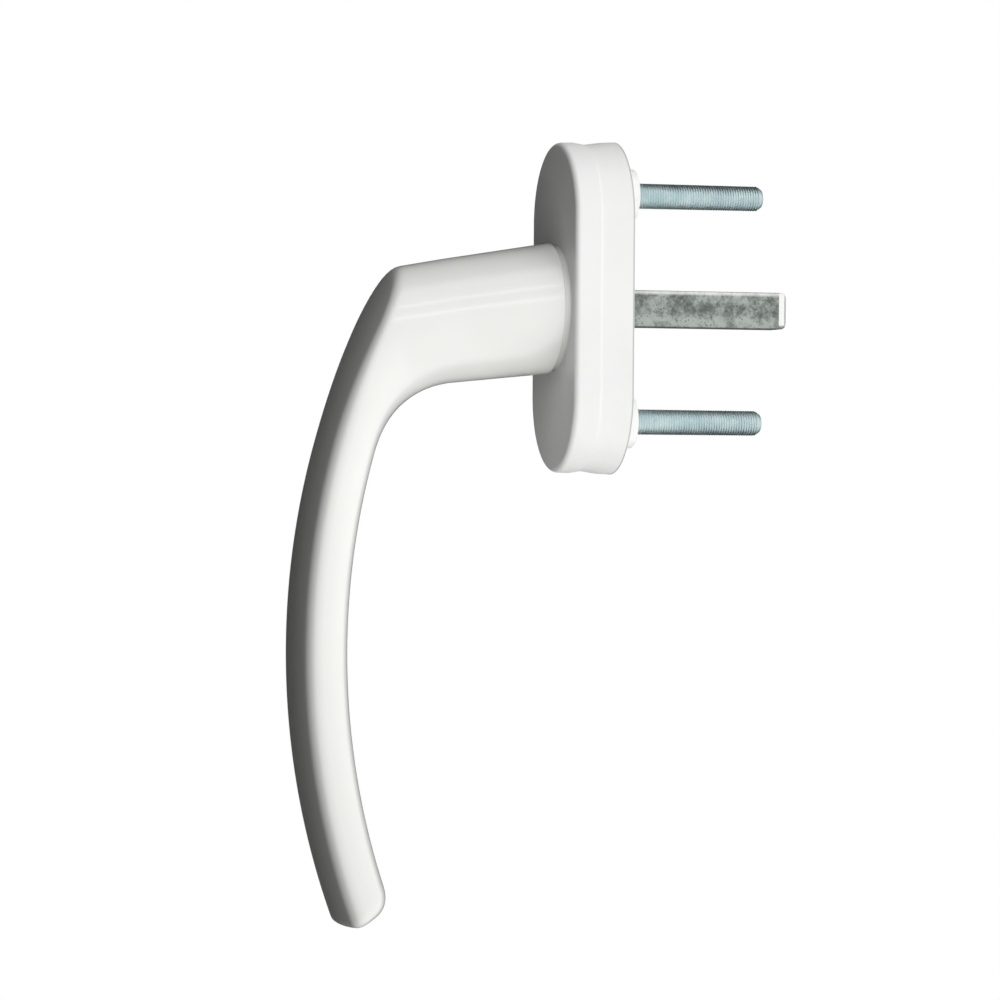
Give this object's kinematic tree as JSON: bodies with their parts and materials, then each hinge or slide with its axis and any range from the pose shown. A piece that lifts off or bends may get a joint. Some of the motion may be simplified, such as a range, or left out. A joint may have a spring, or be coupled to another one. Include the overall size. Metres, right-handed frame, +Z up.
{
  "type": "window handle",
  "caption": "Bowed window lever on an oblong two-part rose with a square spindle and fixing screws; the lever turns in spring detents and the cover swivels aside.",
  "frame": {"origin": "on the spindle's axis, in the plane of the rose's back face", "axes": "+Y along the spindle into the sash, -Y to the room, +Z up with the lever hanging along -Z, X across"},
  "size_m": [0.03, 0.0957, 0.1481],
  "materials": {
    "white_powder_coat": "glossy white powder coat on die-cast aluminium",
    "white_plastic": "glossy white moulding",
    "zinc_plated_spindle": "zinc plated drawn bar, mottled",
    "blue_zinc_screws": "zinc plated, blue passivated",
    "inner_steel": "stamped, zinc plated",
    "spring_steel": "blued spring steel",
    "bush_plastic": "natural acetal"
  },
  "bodies": {
    "base": {"rose_base": "white_plastic", "bearing_bush": "bush_plastic", "detent_spring_left": "spring_steel", "detent_spring_right": "spring_steel", "fixing_screw_upper": "blue_zinc_screws", "fixing_screw_lower": "blue_zinc_screws"},
    "lever": {"lever": "white_powder_coat", "spindle": "zinc_plated_spindle", "detent_cam": "inner_steel", "thrust_washer": "inner_steel", "retaining_ring": "spring_steel"},
    "cover": {"rose_cover": "white_plastic"}
  },
  "joints": [
    {"name": "lever_turn", "type": "hinge", "parent": "base", "child": "lever", "pos_m": [0, 0, 0], "axis": [0, 1, 0], "continuous": true, "deforming": ["detent_spring_left", "detent_spring_right"]},
    {"name": "cover_turn", "type": "hinge", "parent": "base", "child": "cover", "pos_m": [0, 0, 0], "axis": [0, 1, 0], "range_deg": [-90, 90]}
  ]
}
